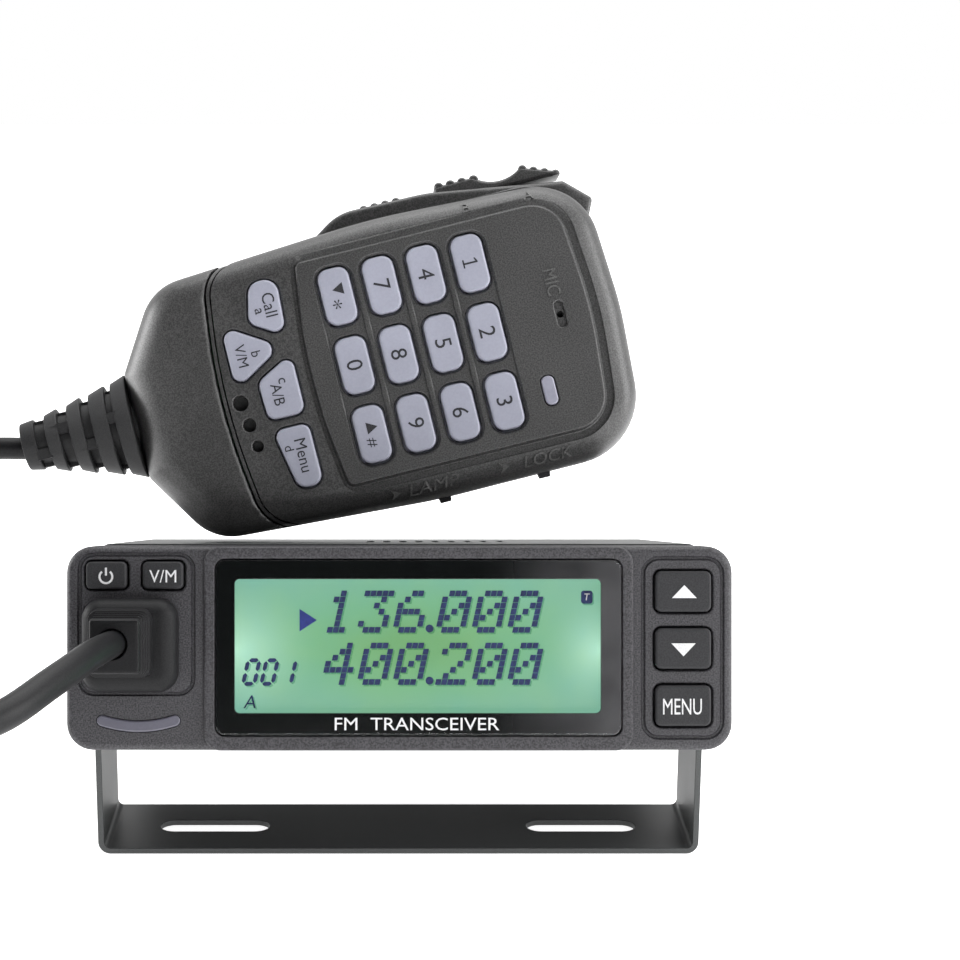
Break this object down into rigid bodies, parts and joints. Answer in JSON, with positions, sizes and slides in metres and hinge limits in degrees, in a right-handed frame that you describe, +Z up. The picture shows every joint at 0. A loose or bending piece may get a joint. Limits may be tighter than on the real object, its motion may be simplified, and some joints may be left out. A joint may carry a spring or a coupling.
{
  "type": "mobile transceiver",
  "caption": "Mobile two-way radio that tilts in a U bracket, with a lit display, front keys, a coiled cord and a keypad hand microphone.",
  "frame": {"origin": "centre of the bracket's underside, the face it is screwed down by", "axes": "+Z up, -Y out of the radio's front panel, +X to the right as seen by the user"},
  "size_m": [0.1747, 0.171, 0.1307],
  "materials": {
    "panel_plastic": "fine moulded texture, satin",
    "button_plastic": "fine matt",
    "window_acrylic": "clear acrylic with a black printed border",
    "lcd_glass": "lit green, satin polariser",
    "light_guide": "smoky translucent",
    "circuit_board": "green solder mask",
    "socket_plastic": "plain moulded",
    "cast_body": "black paint over a casting, satin",
    "painted_sheet": "dark grey powder coat, satin",
    "bright_steel": "bright plated",
    "nickel_plate": "nickel plate",
    "black_screws": "black zinc plate, satin",
    "black_rubber": "matt with a soft sheen",
    "microphone_plastic": "fine moulded grain, satin",
    "keycap_plastic": "smooth lilac grey"
  },
  "bodies": {
    "bracket": {"mounting_bracket": "painted_sheet"},
    "radio": {"front_panel": "panel_plastic", "display_window": "window_acrylic", "lcd_panel": "lcd_glass", "backlight": "light_guide", "status_light_pipe": "light_guide", "front_board": "circuit_board", "mic_jack": "socket_plastic", "chassis": "cast_body", "top_cover": "painted_sheet", "main_board": "circuit_board", "rf_shield": "bright_steel", "power_module": "socket_plastic", "speaker": "bright_steel", "antenna_socket": "nickel_plate", "speaker_jack": "socket_plastic", "dc_lead": "black_rubber", "dc_plug": "socket_plastic", "mic_plug": "socket_plastic", "plug_boot": "black_rubber", "mic_cord": "black_rubber", "cover_screw_left_front": "bright_steel", "cover_screw_left_rear": "bright_steel", "cover_screw_right_front": "bright_steel", "cover_screw_right_rear": "bright_steel"},
    "thumb_screw_left": {"thumb_screw_left": "black_screws"},
    "thumb_screw_right": {"thumb_screw_right": "black_screws"},
    "microphone": {"mic_front_shell": "microphone_plastic", "mic_lower_cap": "microphone_plastic", "mic_back_shell": "microphone_plastic", "mic_board": "circuit_board", "keypad_mat": "black_rubber", "mic_capsule": "bright_steel", "mic_light": "light_guide", "hanger_stud": "bright_steel", "strain_relief": "black_rubber"},
    "talk_bar": {"ptt_bar": "microphone_plastic"},
    "lamp_switch": {"lamp_switch": "button_plastic"},
    "lock_switch": {"lock_switch": "button_plastic"},
    "button_power": {"button_power": "button_plastic"},
    "button_memory": {"button_memory": "button_plastic"},
    "button_up": {"button_up": "button_plastic"},
    "button_down": {"button_down": "button_plastic"},
    "button_menu": {"button_menu": "button_plastic"},
    "mic_key_1": {"mic_key_1": "keycap_plastic"},
    "mic_key_2": {"mic_key_2": "keycap_plastic"},
    "mic_key_3": {"mic_key_3": "keycap_plastic"},
    "mic_key_4": {"mic_key_4": "keycap_plastic"},
    "mic_key_5": {"mic_key_5": "keycap_plastic"},
    "mic_key_6": {"mic_key_6": "keycap_plastic"},
    "mic_key_7": {"mic_key_7": "keycap_plastic"},
    "mic_key_8": {"mic_key_8": "keycap_plastic"},
    "mic_key_9": {"mic_key_9": "keycap_plastic"},
    "mic_key_star": {"mic_key_star": "keycap_plastic"},
    "mic_key_0": {"mic_key_0": "keycap_plastic"},
    "mic_key_hash": {"mic_key_hash": "keycap_plastic"},
    "mic_key_call": {"mic_key_call": "keycap_plastic"},
    "mic_key_memory": {"mic_key_memory": "keycap_plastic"},
    "mic_key_band": {"mic_key_band": "keycap_plastic"},
    "mic_key_menu": {"mic_key_menu": "keycap_plastic"}
  },
  "joints": [
    {"name": "radio_tilt", "type": "hinge", "parent": "bracket", "child": "radio", "pos_m": [0, 0, 0.0404], "axis": [-1, 0, 0], "range_deg": [-23.5, 7.5]},
    {"name": "thumb_screw_left_turn", "type": "hinge", "parent": "radio", "child": "thumb_screw_left", "pos_m": [-0.0592, 0, 0.0404], "axis": [1, 0, 0], "continuous": true},
    {"name": "thumb_screw_right_turn", "type": "hinge", "parent": "radio", "child": "thumb_screw_right", "pos_m": [0.0592, 0, 0.0404], "axis": [1, 0, 0], "continuous": true},
    {"name": "button_power_press", "type": "slide", "parent": "radio", "child": "button_power", "axis": [0, 0.9724, -0.2334], "range_m": [0, 0.0007]},
    {"name": "button_memory_press", "type": "slide", "parent": "radio", "child": "button_memory", "axis": [0, 0.9724, -0.2334], "range_m": [0, 0.0007]},
    {"name": "button_up_press", "type": "slide", "parent": "radio", "child": "button_up", "axis": [0, 0.9724, -0.2334], "range_m": [0, 0.0007]},
    {"name": "button_down_press", "type": "slide", "parent": "radio", "child": "button_down", "axis": [0, 0.9724, -0.2334], "range_m": [0, 0.0007]},
    {"name": "button_menu_press", "type": "slide", "parent": "radio", "child": "button_menu", "axis": [0, 0.9724, -0.2334], "range_m": [0, 0.0007]},
    {"name": "microphone_swing", "type": "hinge", "parent": "radio", "child": "microphone", "pos_m": [-0.07789, 0.02518, 0.07397], "axis": [0, 0.2334, 0.9724], "range_deg": [-25, 25]},
    {"name": "mic_key_1_press", "type": "slide", "parent": "microphone", "child": "mic_key_1", "axis": [0, 0.9724, -0.2334], "range_m": [0, 0.0008]},
    {"name": "mic_key_2_press", "type": "slide", "parent": "microphone", "child": "mic_key_2", "axis": [0, 0.9724, -0.2334], "range_m": [0, 0.0008]},
    {"name": "mic_key_3_press", "type": "slide", "parent": "microphone", "child": "mic_key_3", "axis": [0, 0.9724, -0.2334], "range_m": [0, 0.0008]},
    {"name": "mic_key_4_press", "type": "slide", "parent": "microphone", "child": "mic_key_4", "axis": [0, 0.9724, -0.2334], "range_m": [0, 0.0008]},
    {"name": "mic_key_5_press", "type": "slide", "parent": "microphone", "child": "mic_key_5", "axis": [0, 0.9724, -0.2334], "range_m": [0, 0.0008]},
    {"name": "mic_key_6_press", "type": "slide", "parent": "microphone", "child": "mic_key_6", "axis": [0, 0.9724, -0.2334], "range_m": [0, 0.0008]},
    {"name": "mic_key_7_press", "type": "slide", "parent": "microphone", "child": "mic_key_7", "axis": [0, 0.9724, -0.2334], "range_m": [0, 0.0008]},
    {"name": "mic_key_8_press", "type": "slide", "parent": "microphone", "child": "mic_key_8", "axis": [0, 0.9724, -0.2334], "range_m": [0, 0.0008]},
    {"name": "mic_key_9_press", "type": "slide", "parent": "microphone", "child": "mic_key_9", "axis": [0, 0.9724, -0.2334], "range_m": [0, 0.0008]},
    {"name": "mic_key_star_press", "type": "slide", "parent": "microphone", "child": "mic_key_star", "axis": [0, 0.9724, -0.2334], "range_m": [0, 0.0008]},
    {"name": "mic_key_0_press", "type": "slide", "parent": "microphone", "child": "mic_key_0", "axis": [0, 0.9724, -0.2334], "range_m": [0, 0.0008]},
    {"name": "mic_key_hash_press", "type": "slide", "parent": "microphone", "child": "mic_key_hash", "axis": [0, 0.9724, -0.2334], "range_m": [0, 0.0008]},
    {"name": "mic_key_call_press", "type": "slide", "parent": "microphone", "child": "mic_key_call", "axis": [0, 0.9724, -0.2334], "range_m": [0, 0.0008]},
    {"name": "mic_key_memory_press", "type": "slide", "parent": "microphone", "child": "mic_key_memory", "axis": [0, 0.9724, -0.2334], "range_m": [0, 0.0008]},
    {"name": "mic_key_band_press", "type": "slide", "parent": "microphone", "child": "mic_key_band", "axis": [0, 0.9724, -0.2334], "range_m": [0, 0.0008]},
    {"name": "mic_key_menu_press", "type": "slide", "parent": "microphone", "child": "mic_key_menu", "axis": [0, 0.9724, -0.2334], "range_m": [0, 0.0008]},
    {"name": "talk_bar_press", "type": "hinge", "parent": "microphone", "child": "talk_bar", "pos_m": [0.00839, 0.04418, 0.1229], "axis": [0, 0.9724, -0.2334], "range_deg": [0, 2.2]},
    {"name": "lamp_switch_slide", "type": "slide", "parent": "microphone", "child": "lamp_switch", "axis": [0.9703, 0.0565, 0.2352], "range_m": [0, 0.0024]},
    {"name": "lock_switch_slide", "type": "slide", "parent": "microphone", "child": "lock_switch", "axis": [0.9703, 0.0565, 0.2352], "range_m": [0, 0.0024]}
  ]
}
